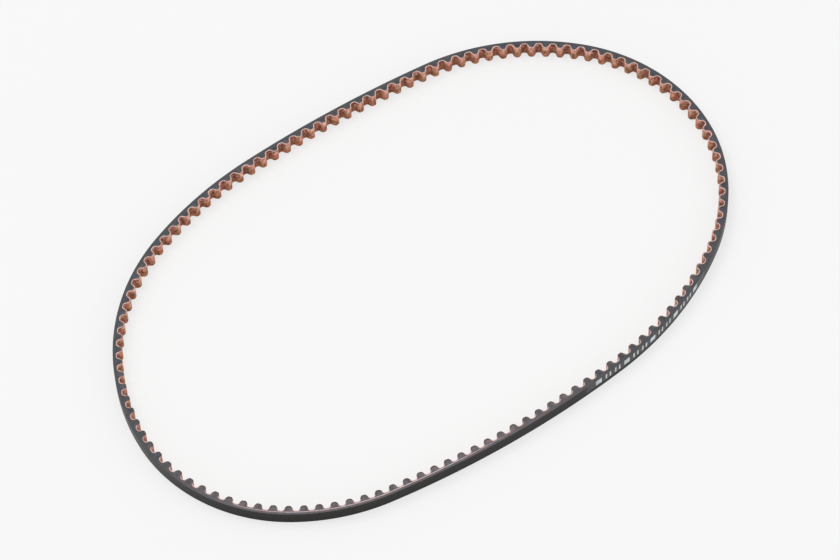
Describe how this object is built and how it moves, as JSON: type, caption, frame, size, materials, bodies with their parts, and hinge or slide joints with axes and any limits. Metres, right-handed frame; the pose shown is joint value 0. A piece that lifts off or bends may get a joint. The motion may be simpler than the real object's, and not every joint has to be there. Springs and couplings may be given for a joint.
{
  "type": "timing belt",
  "caption": "Endless moulded rubber timing belt with curvilinear teeth inside, faced with woven fabric, lying on edge as a free oval.",
  "frame": {"origin": "middle of the oval's bounding box, on the lower cut edge", "axes": "+X along the oval's longest extent, +Z across the belt's width, towards the upper cut edge"},
  "size_m": [0.1368, 0.0867, 0.003],
  "materials": {
    "back_rubber": "smooth ground black rubber",
    "tooth_rubber": "cut dark slate-grey rubber",
    "tooth_fabric": "fine woven orange-brown nylon facing",
    "cord": "treated twisted glass-fibre cord, pale pink",
    "mark_ink": "thin pale printed ink"
  },
  "bodies": {
    "root": {"back_cover": "back_rubber", "tooth_rubber": "tooth_rubber", "tooth_fabric": "tooth_fabric", "tensile_cord": "cord", "printed_mark": "mark_ink"}
  },
  "joints": []
}
